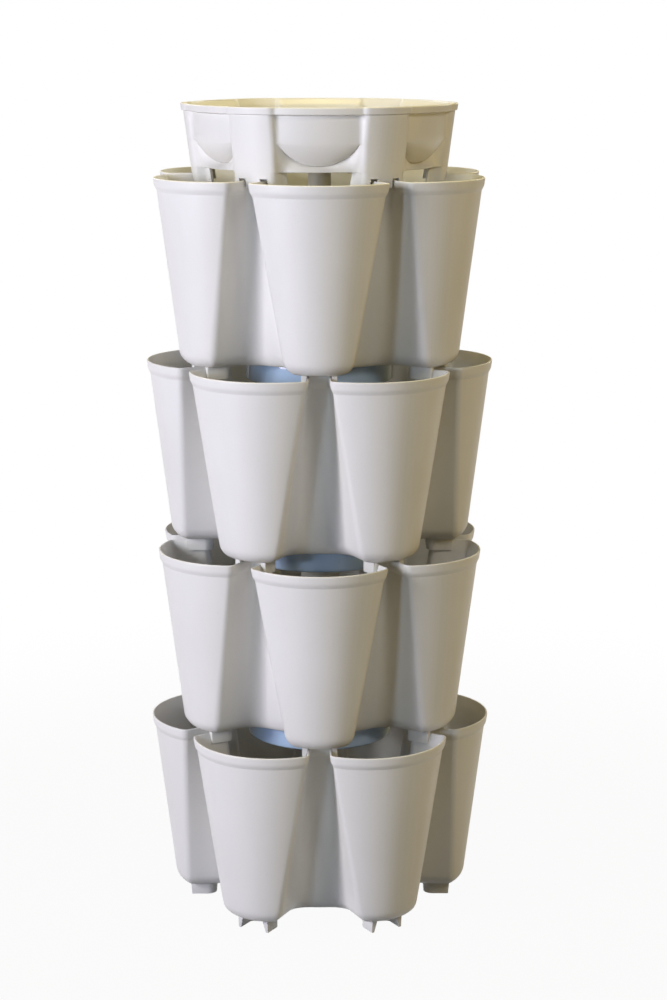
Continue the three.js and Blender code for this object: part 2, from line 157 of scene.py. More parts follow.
# The fillet round the tube's foot: ways out from the tube, and heights over the floor.
TUBE_FILLET = ((2.0, 0.0), (0.6, 0.6), (0.0, 2.0))
SPIGOT = 9.0
SPIGOT_CHAMFER = 1.0
DRIP_RADIUS = 2.0
DRIP_REACH = 78.0
DRIP_BAND = 6.0
HOLE_SIDES = 14

# The reservoir: its height, wall, lip and the lobes that reach down as its legs.
BOWL_HEIGHT = 90.3
BOWL_WALL = 2.8
LIP_HEIGHT = 9.5
LIP_STEP = 2.6
LIP_SHOULDER = 3.0
LIP_UNDERSIDE = ((0.2, 0.4), (0.6, LIP_STEP - 0.4), (1.1, LIP_STEP))
BOWL_STEPS = {"front": 5, "corner": 6, "side": 3, "crease": 5, "back": 8}
LOBE_DROP = 9.0
LOBE_HALF = 29.5
LOBE_BOW = 4.5
LOBE_FLARE = 4.0
LOBE_CORNER = 9.0
# A lobe's reach at its foot and at the lip, and the radius of the crease beside it at the
# panels' crease and at the cove's top.
LOBE_REACH = (163.5, 175.0)
LOBE_CREASE = (20.0, 8.0)
LEG_LEVELS = (-4.0, 0.0, 5.0)

# The panels between the lobes, from the skirt up through the cove to the lip.
SKIRT_HEIGHT = 10.0
SKIRT_EDGE = 1.0
# The flare under the skirt: shares of its reach, and heights.
SKIRT_FLARE = ((0.3, 10.05), (0.75, 10.1), (0.94, 10.2), (1.0, 10.7))
# The rings from the skirt's edge up to the crease, as shares of the way.
SKIRT_SHARES = (0.12, 0.25, 0.4, 0.55, 0.7, 0.82, 0.92)
CREASE_HEIGHT = 17.5
COVE_TOP = 46.0
COVE_TURN = math.radians(55)
COVE_STEPS = 12
COVE_INNER_STEPS = 8
PANEL_STEPS = 5
PANEL_INNER_STEPS = 4
LIP_INNER_STEPS = 4
# How far the cove's rings are drawn up at the lobes, over what angle from a panel's middle,
# and the power that this grows by.
CRESCENT = 0.97
CRESCENT_SPAN = math.radians(15.5)
CRESCENT_POWER = 3
# How far the panels stand from the axis at each level.
PANEL_CREASE = 139.0
PANEL_SKIRT = 152.0
PANEL_COVE = 163.0
PANEL_HIGH = 164.5
PANEL_LIP = 169.7
LEDGE_FALL = 0.8
# The ledge under the lip: shares of the way out to the lip, and depths under its foot.
LEDGE = ((0.25, 0.3), (0.7, 0.1), (1.0, 0.0))

# The reservoir's floor, with heights over it and insets, and its holes and outlet tube.
FLOOR_OF_BOWL = SKIRT_HEIGHT + BOWL_WALL
FLOOR_FILLET = ((4.0, 0.0), (2.4, 0.2), (1.2, 0.8), (0.3, 1.9), (0.0, 3.2))
WEEP_RADIUS = 2.5
WEEP_REACH = 105.0
OUTLET_RADIUS = 15.0
OUTLET_REACH = 9.0
OUTLET_EDGE = 0.6
OUTLET_SIDES = 48

# The openings between the legs, and the slots that seat them on the channel walls.
GAP_HALF_LOW = 37.0
GAP_HALF_HIGH = 41.0
CUT_NEAR = 119.0
CUT_FAR = 180.0
CUT_MARGIN = 3.0
GAP_SHY = 0.02
SLOT_OUTER = 20.6
NOTCH_CLEARANCE = 2.5
RIB_MARGIN = 0.2

# The band of noise that drives the plastics' tone and roughness.
NOISE_LOW = 0.45
NOISE_HIGH = 0.9

# The floor, in metres: half its side, its depth under the part and the radii between which
# the part's shadow fades into white. Then its grey to light that isn't seen by the camera,
# and how white the shadow is near the part.
WHITE = (1.0, 1.0, 1.0, 1.0)
FLOOR_HALF = 9.0
FLOOR_DROP = 0.0005
FADE_NEAR = 0.5
FADE_FAR = 1.6
FLOOR_TONE = 0.22
SHADOW_WHITE = 0.95

# Each lamp's name, place, the height on the axis that it is aimed at, its width and
# height, its power in watts and its colour.
LAMPS = (
    ("window", (-2.29, -1.61, 1.4), 0.5, (0.7, 0.9), 54.0, (0.93, 0.93, 1.0)),
    ("low_window", (-2.29, -1.61, 0.6), 0.5, (0.9, 0.7), 21.6, (0.80, 0.73, 1.0)),
    ("front_lamp", (-1.6, -2.77, 1.1), 0.6, (0.35, 0.35), 16.0, (0.60, 0.76, 1.0)),
    ("front_right_lamp", (1.66, -2.38, 2.6), 0.5, (0.9, 0.9), 25.7, (1.0, 0.938, 0.80)),
    ("right_glow", (2.66, -0.47, 1.0), 0.5, (0.9, 0.9), 11.3, (1.0, 0.655, 0.08)),
    ("ceiling_lamp", (0.0, -0.1, 3.2), 0.5, (1.0, 1.0), 39.0, (1.0, 0.85, 0.40)),
    ("back_left_lamp", (-1.9, 2.5, 1.9), 0.5, (0.9, 0.9), 20.0, (0.95, 0.97, 1.0)),
    ("back_right_lamp", (1.9, 2.5, 1.9), 0.5, (0.9, 0.9), 20.0, (1.0, 0.97, 0.92)),
)


def mix(low, high, share):
    return low + (high - low) * share


def smooth(share):
    return share * share * (3 - 2 * share)


def shares(steps):
    """The shares of a way that end its steps, without its start."""
    return [i / steps for i in range(1, steps + 1)]


def quarter(steps):
    """The angles of a quarter turn, with its start and its end."""
    return [math.pi / 2 * i / steps for i in range(steps + 1)]


def along(start, direction, distance):
    return (start[0] + direction[0] * distance, start[1] + direction[1] * distance)


def line_out_of_circle(start, direction, centre_x, radius):
    """The distance from a start along a line to where it leaves a circle."""
    offset = start[0] - centre_x
    half = offset * direction[0] + start[1] * direction[1]
    rest = offset ** 2 + start[1] ** 2 - radius ** 2
    return -half + math.sqrt(max(half ** 2 - rest, 0.0))


def arc_points(centre, begin, end, steps):
    radius = math.hypot(begin[0] - centre[0], begin[1] - centre[1])
    start = math.atan2(begin[1] - centre[1], begin[0] - centre[0])
    stop = math.atan2(end[1] - centre[1], end[0] - centre[0])
    turn = math.atan2(math.sin(stop - start), math.cos(stop - start))
    return [
        (centre[0] + radius * math.cos(start + turn * i / steps),
         centre[1] + radius * math.sin(start + turn * i / steps))
        for i in range(1, steps + 1)
    ]


def mirror_across(angle, point):
    x, y = point
    return (x * math.cos(2 * angle) + y * math.sin(2 * angle),
            x * math.sin(2 * angle) - y * math.cos(2 * angle))


def turned(point, angle):
    x, y = point
    return (x * math.cos(angle) - y * math.sin(angle), x * math.sin(angle) + y * math.cos(angle))


def lobed_outline(form, inset, back_inset, steps):
    """Six lobes: bowed front, round corner, straight side, hollow fillet and the arc behind."""
    half = SECTOR / 2
    corner_y = ((form["reach"] - form["bow"]) * math.sin(half) - form["mouth"]) / math.cos(half)
    corner = (form["reach"] - form["bow"], corner_y)
    depth = math.sqrt(form["back"] ** 2 - form["throat"] ** 2)
    crease = (depth * math.cos(half) + form["throat"] * math.sin(half),
              depth * math.sin(half) - form["throat"] * math.cos(half))
    bow_radius = (corner_y ** 2 + form["bow"] ** 2) / (2 * form["bow"])
    bow_centre = form["reach"] - bow_radius
    length = math.hypot(corner[0] - crease[0], corner[1] - crease[1])
    direction = ((corner[0] - crease[0]) / length, (corner[1] - crease[1]) / length)
    inward = (direction[1], -direction[0])
    start = along(crease, inward, inset)

    corner_radius = max(form["corner"] - inset, form["corner"] * LEAST_CORNER)
    front_radius = bow_radius - inset
    corner_line = along(start, inward, corner_radius)
    corner_at = line_out_of_circle(
        corner_line, direction, bow_centre, front_radius - corner_radius)
    corner_centre = along(corner_line, direction, corner_at)
    corner_foot = along(start, direction, corner_at)
    spread = front_radius / (front_radius - corner_radius)
    corner_head = (bow_centre + (corner_centre[0] - bow_centre) * spread,
                   corner_centre[1] * spread)

    crease_radius = form["crease"] + inset
    back_radius = form["back"] - back_inset
    crease_line = along(start, inward, -crease_radius)
    crease_at = line_out_of_circle(crease_line, direction, 0.0, back_radius + crease_radius)
    crease_centre = along(crease_line, direction, crease_at)
    crease_foot = along(start, direction, crease_at)
    shrink = back_radius / (back_radius + crease_radius)
    crease_end = (crease_centre[0] * shrink, crease_centre[1] * shrink)

    apex = (bow_centre + front_radius, 0.0)
    side = arc_points((bow_centre, 0.0), apex, corner_head, steps["front"])
    side += arc_points(corner_centre, corner_head, corner_foot, steps["corner"])
    for share in shares(steps["side"]):
        side.append((mix(corner_foot[0], crease_foot[0], share),
                     mix(corner_foot[1], crease_foot[1], share)))
    side += arc_points(crease_centre, crease_foot, crease_end, steps["crease"])
    valley = (back_radius * math.cos(half), back_radius * math.sin(half))
    back = arc_points((0.0, 0.0), crease_end, valley, steps["back"])
    lobe = [(x, -y) for x, y in reversed(side)] + [apex] + side + back
    lobe += [mirror_across(half, p) for p in reversed(back[:-1])]
    return [turned(p, i * SECTOR) for i in range(LOBES) for p in lobe]


def circle(radius, sides, centre=(0.0, 0.0)):
    return [
        (centre[0] + radius * math.cos(2 * math.pi * i / sides),
         centre[1] + radius * math.sin(2 * math.pi * i / sides))
        for i in range(sides)
    ]


class Shell:
    """A mesh under construction, in millimetres."""

    def __init__(self):
        self.points = []
        self.faces = []

    def lay(self, points):
        """Adds a loop of points and returns their numbers."""
        first = len(self.points)
        self.points += points
        return list(range(first, len(self.points)))

    def ring(self, outline, z):
        return self.lay([(x, y, z) for x, y in outline])

    def band(self, low, high):
        count = len(low)
        for i in range(count):
            j = (i + 1) % count
            self.faces.append((low[i], low[j], high[j], high[i]))

    def loft(self, rings):
        for low, high in zip(rings, rings[1:]):
            self.band(low, high)

    def patch(self, outer, inner_loops, holes, up):
        """A patch inside the outer loop, with open round holes of given places and radii."""
        loops = [outer] + inner_loops
        ids = [i for loop in loops for i in loop]
        flat = [Vector((self.points[i][0], self.points[i][1])) for i in ids]
        edges = []
        first = 0
        for loop in loops:
            count = len(loop)
            edges += [(first + i, first + (i + 1) % count) for i in range(count)]
            first += count
        verts, _, faces, origins, _, _ = delaunay_2d_cdt(
            flat, edges, [], WITHIN_LOOP, PATCH_EPSILON)
        for face in faces:
            cx = sum(verts[i].x for i in face) / len(face)
            cy = sum(verts[i].y for i in face) / len(face)
            if any(math.hypot(cx - x, cy - y) < radius for x, y, radius in holes):
                continue
            real = [ids[origins[i][0]] for i in face]
            self.faces.append(tuple(real if up else reversed(real)))

    def add(self, points, faces):
        first = len(self.points)
        self.points += points
        self.faces += [tuple(first + i for i in face) for face in faces]


def shade(mesh):
    for polygon in mesh.polygons:
        polygon.use_smooth = True
    mesh.set_sharp_from_angle(angle=SHARP_ANGLE)


def mesh_object(name, shell, seat, turn):
    """The shell in metres, lifted to its seat and turned about the axis."""
    mesh = bpy.data.meshes.new(name)
    placed = []
    for x, y, z in shell.points:
        px, py = turned((x, y), turn)
        placed.append((px * MM, py * MM, (z + seat) * MM))
    mesh.from_pydata(placed, [], shell.faces)
    mesh.update()
    shade(mesh)
    piece = bpy.data.objects.new(name, mesh)
    bpy.context.scene.collection.objects.link(piece)
    return piece


def tier_form(z):
    share = (z - PAD) / (TIER_HEIGHT - PAD)
    return {key: mix(floor, rim, share) for key, (floor, rim) in TIER_PROFILE.items()}


def tier_outline(z, inset, back_inset=None):
    back = inset if back_inset is None else back_inset
    return lobed_outline(tier_form(z), inset, back, TIER_STEPS)


def heel_rings(shell, bottom, thickness, steps):
    """The fillet between a floor and the walls round it, from the floor up."""
    rings = []
    for angle in quarter(steps):
        rise = (HEEL - thickness) * (1 - math.cos(angle))
        inset = thickness + (HEEL - thickness) * (1 - math.sin(angle))
        back = thickness + (VALLEY_EDGE - thickness) * (1 - math.sin(angle))
        rings.append(shell.ring(tier_outline(bottom + rise, inset, back), bottom + rise))
    return rings


def round_back(near, half, radius, steps):
    """The two rounded corners of a U's back, from its left side round to its right side."""
    inner = near + radius
    across = half - radius
    points = [(inner, -half)]
    points += arc_points((inner, -across), (inner, -half), (near, -across), steps)
    points.append((near, across))
    points += arc_points((inner, across), (near, across), (inner, half), steps)
    return points


def solid_object(name, loops):
    """A closed solid through loops of points, with its faces turned outward."""
    work = bmesh.new()
    rings = [[work.verts.new(point) for point in loop] for loop in loops]
    count = len(rings[0])
    for low_ring, high_ring in zip(rings, rings[1:]):
        for i in range(count):
            j = (i + 1) % count
            work.faces.new((low_ring[i], low_ring[j], high_ring[j], high_ring[i]))
    work.faces.new(list(reversed(rings[0])))
    work.faces.new(rings[-1])
    bmesh.ops.recalc_face_normals(work, faces=work.faces)
    mesh = bpy.data.meshes.new(name)
    work.to_mesh(mesh)
    work.free()
    solid = bpy.data.objects.new(name, mesh)
    bpy.context.scene.collection.objects.link(solid)
    return solid


def cut_away(piece, knife):
    cut = piece.modifiers.new("cut", "BOOLEAN")
    cut.operation = "DIFFERENCE"
    cut.object = knife
    cut.solver = "EXACT"


def channel_inside(depth, reach):
    """A channel's inside at a depth under the rim: its back, and its half width at a reach."""
    form = tier_form(TIER_HEIGHT - depth)
    half = SECTOR / 2
    inset = TIER_WALL - BAND_STEP * max(1 - depth / BAND_HEIGHT, 0.0)
    mouth = (form["reach"] - form["bow"] - form["mouth"] * math.sin(half)) / math.cos(half)
    share = (reach - form["back"]) / (mouth - form["back"])
    width = mix(form["throat"], form["mouth"], min(share, 1.0))
    return form["back"] - inset, width + inset


def foot_shape():
    """One U-shaped foot under a pocket: two upright fins and the arched web behind them."""
    fin_end = RIM_BACK + FIN_LENGTH
    front = channel_inside(FOOT_DEPTH, fin_end)[0] - FOOT_CLEARANCE
    back = front - WEB_THICKNESS
    top = channel_inside(0.0, fin_end)[1] + FOOT_CLEARANCE
    low = channel_inside(FOOT_DEPTH, fin_end)[1] + FOOT_CLEARANCE
    outer = low + FIN_THICKNESS
    root = PAD + TIER_WALL / 2
    slope = (top - low) / FOOT_DEPTH
    levels = []
    for z, end in ((-FOOT_DEPTH, fin_end - FIN_RAKE), (0.0, fin_end), (root, fin_end)):
        half = top + slope * z
        outside = round_back(back, outer, FOOT_CORNER, FOOT_CORNER_STEPS)
        inside = round_back(front, half, PLUG_CORNER, FOOT_CORNER_STEPS)
        plan = [(end, outer)] + [(x, -y) for x, y in outside] + [(end, -outer), (end, -half)]
        plan += inside + [(end, half)]
        levels.append([(x, y, z) for x, y in plan])
    foot = solid_object("foot", levels)
    centre = WEB_ARCH_RISE - WEB_ARCH_RADIUS - FOOT_DEPTH
    arch = solid_object("arch", [
        [(x, across, z) for across, z in circle(WEB_ARCH_RADIUS, WEB_ARCH_SIDES, (0.0, centre))]
        for x in (back - WEB_ARCH_MARGIN, front + WEB_ARCH_MARGIN)
    ])
    cut_away(foot, arch)
    edges = foot.modifiers.new("edges", "BEVEL")
    edges.width = FOOT_EDGE
    edges.segments = FOOT_EDGE_SEGMENTS
    edges.limit_method = "ANGLE"
    edges.angle_limit = FOOT_EDGE_ANGLE
    result = foot.evaluated_get(bpy.context.evaluated_depsgraph_get()).to_mesh()
    points = [tuple(v.co) for v in result.vertices]
    faces = [tuple(p.vertices) for p in result.polygons]
    bpy.data.objects.remove(foot)
    bpy.data.objects.remove(arch)
    return points, faces


def tier_wall(shell):
    """The lobed wall, up its outside, over the rim and down its inside to the floor."""

    def ring(z, inset):
        return shell.ring(tier_outline(z, inset), z)

    band_foot = TIER_HEIGHT - BAND_HEIGHT
    wall = heel_rings(shell, PAD, 0.0, HEEL_STEPS)
    for share in shares(WALL_STEPS):
        wall.append(ring(mix(PAD + HEEL, band_foot, share), 0.0))
    # The band's underside slopes out from a crisp line, then rounds into the upright band.
    for share, step in BAND_UNDERSIDE:
        wall.append(ring(band_foot + BAND_SLOPE * share, -BAND_STEP * step))
    for angle in quarter(RIM_STEPS):
        z = TIER_HEIGHT - RIM_ROUND * (1 - math.sin(angle))
        wall.append(ring(z, -BAND_STEP + RIM_ROUND * (1 - math.cos(angle))))
    inner_top = TIER_WALL - BAND_STEP
    for angle in quarter(RIM_INNER_STEPS):
        z = TIER_HEIGHT - RIM_INNER_ROUND * (1 - math.cos(angle))
        wall.append(ring(z, inner_top - RIM_INNER_ROUND * (1 - math.sin(angle))))
    for share in shares(BAND_INNER_STEPS):
        z = mix(TIER_HEIGHT - RIM_INNER_ROUND, band_foot, share)
        wall.append(ring(z, mix(inner_top, TIER_WALL, smooth(share))))
    heel_top = FLOOR_TOP + HEEL - TIER_WALL
    for share in shares(WALL_INNER_STEPS):
        wall.append(ring(mix(band_foot, heel_top, share), TIER_WALL))
    inner_heel = heel_rings(shell, FLOOR_TOP, TIER_WALL, HEEL_INNER_STEPS)
    wall += list(reversed(inner_heel))[1:]
    shell.loft(wall)
    return wall


def tier_shell():
    shell = Shell()
    wall = tier_wall(shell)

    def ring(radius, z):
        return shell.ring(circle(radius, COLUMN_SIDES), z)

    drains = [turned((DRAIN_REACH, 0.0), i * SECTOR) for i in range(LOBES)]
    holes = [(x, y, DRAIN_RADIUS) for x, y in drains]
    drain_low, drain_high = [], []
    for place in drains:
        drain_low.append(shell.ring(circle(DRAIN_RADIUS, DRAIN_SIDES, place), PAD))
        drain_high.append(shell.ring(circle(DRAIN_RADIUS, DRAIN_SIDES, place), FLOOR_TOP))
        shell.band(drain_high[-1], drain_low[-1])
    bore = COLUMN_BASE - COLUMN_WALL
    spread = COLUMN_BASE + COLUMN_FILLET
    bore_low = ring(bore, PAD)
    column_low = ring(spread, FLOOR_TOP)
    shell.patch(wall[0], [bore_low] + drain_low, holes + [(0, 0, bore)], False)
    shell.patch(wall[-1], [column_low] + drain_high, holes + [(0, 0, spread)], True)

    top = PITCH - DISC_SINK - REST_GAP
    column = [column_low]
    for angle in quarter(COLUMN_FILLET_STEPS)[1:]:
        radius = COLUMN_BASE + COLUMN_FILLET * (1 - math.sin(angle))
        column.append(ring(radius, FLOOR_TOP + COLUMN_FILLET * (1 - math.cos(angle))))
    for share in shares(COLUMN_STEPS):
        z = mix(FLOOR_TOP + COLUMN_FILLET, top - COLUMN_EDGE, share)
        column.append(ring(mix(COLUMN_BASE, COLUMN_TOP, share), z))
    column.append(ring(COLUMN_TOP - COLUMN_EDGE, top))
    column.append(ring(COLUMN_TOP - COLUMN_WALL + COLUMN_EDGE, top))
    for share in [0.0] + shares(COLUMN_STEPS):
        z = mix(top - COLUMN_EDGE, PAD + BORE_SHY, share)
        column.append(ring(mix(COLUMN_TOP, COLUMN_BASE, share) - COLUMN_WALL, z))
    column.append(bore_low)
    shell.loft(column)

    points, faces = foot_shape()
    for i in range(LOBES):
        placed = [(*turned((x, y), i * SECTOR), z) for x, y, z in points]
        shell.add(placed, faces)
    return shell


def round_corner(centre, radius, begin, end, steps):
    """An arc of a section, between two angles in degrees."""
    return [
        (centre[0] + radius * math.cos(math.radians(mix(begin, end, i / steps))),
         centre[1] + radius * math.sin(math.radians(mix(begin, end, i / steps))))
        for i in range(steps + 1)
    ]


def disc_shell():
    """The turned dish with its rim, tube and spigot, and drip holes through its floor."""
    shell = Shell()
    floor_rise = DISC_WALL + DISC_FALL
    tube = TUBE_RADIUS + DISC_WALL
    inner_wall = DISC_RADIUS - DISC_WALL
    lip_level = DISC_HEIGHT - DISC_LIP
    drip_near = DRIP_REACH - DRIP_BAND
    drip_far = DRIP_REACH + DRIP_BAND

    def on_floor(radius):
        share = (radius - tube) / (inner_wall - tube)
        return (radius, mix(floor_rise, DISC_WALL, share))

    def turned_rings(profile):
        return [shell.ring(circle(radius, DISC_SIDES), height) for radius, height in profile]

    under = [(TUBE_RADIUS, 0.0), (TUBE_RADIUS, -SPIGOT), (tube - TUBE_EDGE, -SPIGOT)]
    under += [(tube, -SPIGOT + TUBE_EDGE), (tube, -SPIGOT_CHAMFER),
              (tube + SPIGOT_CHAMFER, 0.0)]
    under += [(radius, 0.0) for radius in DISC_UNDER_RINGS]
    under.append((drip_near, 0.0))
    rim = [(drip_far, 0.0), (DISC_RIM_RING, 0.0)]
    rim += round_corner((DISC_RADIUS - DISC_EDGE, DISC_EDGE), DISC_EDGE, -90, 0, DISC_EDGE_STEPS)
    rim += [(DISC_RADIUS, level) for level in DISC_OUTSIDE_LEVELS]
    rim += round_corner((DISC_RADIUS - DISC_LIP, lip_level), DISC_LIP, 0, 90, DISC_LIP_STEPS)
    rim += round_corner((inner_wall + DISC_LIP, lip_level), DISC_LIP, 90, 180, DISC_LIP_STEPS)
    rim += [(inner_wall, level) for level in DISC_INSIDE_LEVELS]
    fillet_centre = (inner_wall - DISC_FILLET, DISC_WALL + DISC_FILLET)
    rim += round_corner(fillet_centre, DISC_FILLET, 0, -90, DISC_FILLET_STEPS)
    rim += [on_floor(DISC_RIM_RING), on_floor(drip_far)]
    inner = [on_floor(drip_near)] + [on_floor(radius) for radius in DISC_FLOOR_RINGS]
    inner += [(tube + out, floor_rise + rise) for out, rise in TUBE_FILLET]
    inner += [(tube, TUBE_RISE - TUBE_EDGE), (tube - TUBE_EDGE, TUBE_RISE)]
    inner += [(TUBE_RADIUS + TUBE_EDGE, TUBE_RISE), (TUBE_RADIUS, TUBE_RISE - TUBE_EDGE)]
    inner.append((TUBE_RADIUS, TUBE_BORE_LEVEL))

    under_rings = turned_rings(under)
    rim_rings = turned_rings(rim)
    inner_rings = turned_rings(inner)
    shell.loft(under_rings)
    shell.loft(rim_rings)
    shell.loft(inner_rings + [under_rings[0]])
    drips = [turned((DRIP_REACH, 0.0), (i + 0.5) * SECTOR) for i in range(LOBES)]
    holes = [(x, y, DRIP_RADIUS) for x, y in drips] + [(0.0, 0.0, drip_near)]
    drip_top = on_floor(DRIP_REACH)[1]
    low = [shell.ring(circle(DRIP_RADIUS, HOLE_SIDES, place), 0.0) for place in drips]
    high = [shell.ring(circle(DRIP_RADIUS, HOLE_SIDES, place), drip_top) for place in drips]
    for low_hole, high_hole in zip(low, high):
        shell.band(high_hole, low_hole)
    shell.patch(rim_rings[0], [under_rings[-1]] + low, holes, False)
    shell.patch(rim_rings[-1], [inner_rings[0]] + high, holes, True)
    return shell


def bowl_form(z, panel):
    """The bowl's outline at a height, with its panels at a reach."""
    share = (z + LOBE_DROP) / (BOWL_HEIGHT - LIP_HEIGHT + LOBE_DROP)
    cove_share = min((panel - PANEL_CREASE) / (PANEL_COVE - PANEL_CREASE), 1.0)
    reach = mix(*LOBE_REACH, share)
    half = SECTOR / 2
    base = LOBE_HALF + LOBE_FLARE
    depth = math.sqrt(panel ** 2 - base ** 2)
    return {
        "reach": reach, "bow": LOBE_BOW, "back": panel,
        "mouth": (reach - LOBE_BOW) * math.sin(half) - LOBE_HALF * math.cos(half),
        "throat": depth * math.sin(half) - base * math.cos(half),
        "corner": LOBE_CORNER, "crease": mix(*LOBE_CREASE, cove_share),
    }


def bowl_plan(z, panel, inset):
    return [(x, y, z) for x, y in lobed_outline(bowl_form(z, panel), inset, inset, BOWL_STEPS)]


def crescent(points, top):
    """A ring of the cove drawn up towards the cove's top, most at the lobes."""
    drawn = []
    for (x, y, z), (top_x, top_y, top_z) in zip(points, top):
        from_panel = abs(abs(math.atan2(y, x)) % SECTOR - SECTOR / 2)
        share = CRESCENT * min(from_panel / CRESCENT_SPAN, 1.0) ** CRESCENT_POWER
        drawn.append((mix(x, top_x, share), mix(y, top_y, share), mix(z, top_z, share)))
    return drawn


def cove_ring(angle, low, high, inset, top):
    """A ring of the cove's round, which runs between two heights."""
    z = mix(low, high, (1 - math.cos(angle)) / (1 - math.cos(COVE_TURN)))
    reach = mix(PANEL_CREASE, PANEL_COVE, math.sin(angle) / math.sin(COVE_TURN))
    return crescent(bowl_plan(z, reach, inset), top)


def bowl_wall(shell):
    """The bowl's wall, up its outside, over the lip and down its inside to the floor."""

    def ring(z, panel, inset):
        return shell.lay(bowl_plan(z, panel, inset))

    lip_foot = BOWL_HEIGHT - LIP_HEIGHT
    skirt_top = SKIRT_HEIGHT + SKIRT_EDGE
    rings = [ring(z, PANEL_CREASE, 0.0) for z in (-LOBE_DROP, *LEG_LEVELS, SKIRT_HEIGHT)]
    # The skirt between two lobes flares out under the crease.
    for share, z in (*SKIRT_FLARE, (1.0, skirt_top)):
        rings.append(ring(z, mix(PANEL_CREASE, PANEL_SKIRT, share), 0.0))
    cove_top = bowl_plan(COVE_TOP, PANEL_COVE, 0.0)
    skirt = bowl_plan(skirt_top, PANEL_SKIRT, 0.0)
    crease = crescent(bowl_plan(CREASE_HEIGHT, PANEL_CREASE, 0.0), cove_top)
    for share in SKIRT_SHARES:
        rings.append(shell.lay([
            tuple(mix(a, b, share) for a, b in zip(low_point, high_point))
            for low_point, high_point in zip(skirt, crease)
        ]))
    for i in range(COVE_STEPS + 1):
        angle = COVE_TURN * i / COVE_STEPS
        rings.append(shell.lay(cove_ring(angle, CREASE_HEIGHT, COVE_TOP, 0.0, cove_top)))
    for share in shares(PANEL_STEPS):
        z = mix(COVE_TOP, lip_foot - LEDGE_FALL, share)
        rings.append(ring(z, mix(PANEL_COVE, PANEL_HIGH, share), 0.0))
    for share, depth in LEDGE:
        rings.append(ring(lip_foot - depth, mix(PANEL_HIGH, PANEL_LIP, share), 0.0))
    for rise, step in LIP_UNDERSIDE:
        rings.append(ring(lip_foot + rise, PANEL_LIP, -step))
    rings.append(ring(BOWL_HEIGHT - LIP_SHOULDER, PANEL_LIP, -LIP_STEP))
    for angle in quarter(RIM_STEPS):
        z = BOWL_HEIGHT - RIM_ROUND * (1 - math.sin(angle))
        rings.append(ring(z, PANEL_LIP, -LIP_STEP + RIM_ROUND * (1 - math.cos(angle))))
    inner_top = BOWL_WALL - LIP_STEP
    for angle in quarter(RIM_INNER_STEPS):
        z = BOWL_HEIGHT - RIM_INNER_ROUND * (1 - math.cos(angle))
        rings.append(ring(z, PANEL_LIP, inner_top - RIM_INNER_ROUND * (1 - math.sin(angle))))
    for share in shares(LIP_INNER_STEPS):
        z = mix(BOWL_HEIGHT - RIM_INNER_ROUND, lip_foot, share)
        panel = mix(PANEL_LIP, PANEL_HIGH, smooth(share))
        rings.append(ring(z, panel, mix(inner_top, BOWL_WALL, smooth(share))))
    low = CREASE_HEIGHT + BOWL_WALL
    high = COVE_TOP + BOWL_WALL
    for share in shares(PANEL_INNER_STEPS):
        z = mix(lip_foot, high, share)
        rings.append(ring(z, mix(PANEL_HIGH, PANEL_COVE, share), BOWL_WALL))
    inner_cove_top = bowl_plan(high, PANEL_COVE, BOWL_WALL)
    for share in shares(COVE_INNER_STEPS):
        angle = COVE_TURN * (1 - share)
        rings.append(shell.lay(cove_ring(angle, low, high, BOWL_WALL, inner_cove_top)))
    for rise, inset in FLOOR_FILLET:
        rings.append(ring(FLOOR_OF_BOWL + rise, PANEL_CREASE, BOWL_WALL + inset))
    shell.loft(rings)
    leg_foot = ring(-LOBE_DROP, PANEL_CREASE, BOWL_WALL)
    under_floor = ring(SKIRT_HEIGHT, PANEL_CREASE, BOWL_WALL)
    shell.loft([under_floor, leg_foot, rings[0]])
    return under_floor, rings[-1]


def bowl_shell():
    shell = Shell()
    under_floor, floor = bowl_wall(shell)

    def hole(place, z):
        return shell.ring(circle(WEEP_RADIUS, HOLE_SIDES, place), z)

    def ring(radius, z):
        return shell.ring(circle(radius, OUTLET_SIDES), z)

    centre = (0.0, 0.0)
    weeps = [turned((WEEP_REACH, 0.0), (i + 0.5) * SECTOR) for i in range(LOBES)]
    low_holes = [hole(place, SKIRT_HEIGHT) for place in weeps]
    high_holes = [hole(place, FLOOR_OF_BOWL) for place in weeps + [centre]]
    centre_low = hole(centre, SKIRT_HEIGHT)
    for low_hole, high_hole in zip(low_holes + [centre_low], high_holes):
        shell.band(high_hole, low_hole)
    bore = OUTLET_RADIUS - BOWL_WALL
    foot = -DISC_SINK - OUTLET_REACH
    outside = ring(OUTLET_RADIUS, SKIRT_HEIGHT)
    inside = ring(bore, SKIRT_HEIGHT)
    tip_out = ring(OUTLET_RADIUS - OUTLET_EDGE, foot)
    tip_high = ring(OUTLET_RADIUS, foot + OUTLET_EDGE)
    tip_in = ring(bore + OUTLET_EDGE, foot)
    tip_in_high = ring(bore, foot + OUTLET_EDGE)
    shell.loft([inside, tip_in_high, tip_in, tip_out, tip_high, outside])
    places = [(x, y, WEEP_RADIUS) for x, y in weeps]
    shell.patch(under_floor, [outside] + low_holes, places + [(*centre, OUTLET_RADIUS)], False)
    shell.patch(inside, [centre_low], [(*centre, WEEP_RADIUS)], False)
    shell.patch(floor, high_holes, places + [(*centre, WEEP_RADIUS)], True)
    return shell


def prism(points_across, near, far, turn):
    """A prism that runs outward, from an outline of places across and heights."""
    shell = Shell()
    near_end, far_end = [
        shell.lay([(*turned((reach, across), turn), z) for across, z in points_across])
        for reach in (near, far)
    ]
    shell.band(near_end, far_end)
    shell.faces += [tuple(reversed(near_end)), tuple(far_end)]
    return shell


def turn_outward(mesh, joined=None):
    """Turns a mesh's faces outward. With a second mesh, both are joined in that one."""
    work = bmesh.new()
    work.from_mesh(mesh)
    bmesh.ops.recalc_face_normals(work, faces=work.faces)
    if joined is not None:
        work.from_mesh(joined)
        mesh = joined
    work.to_mesh(mesh)
    work.free()


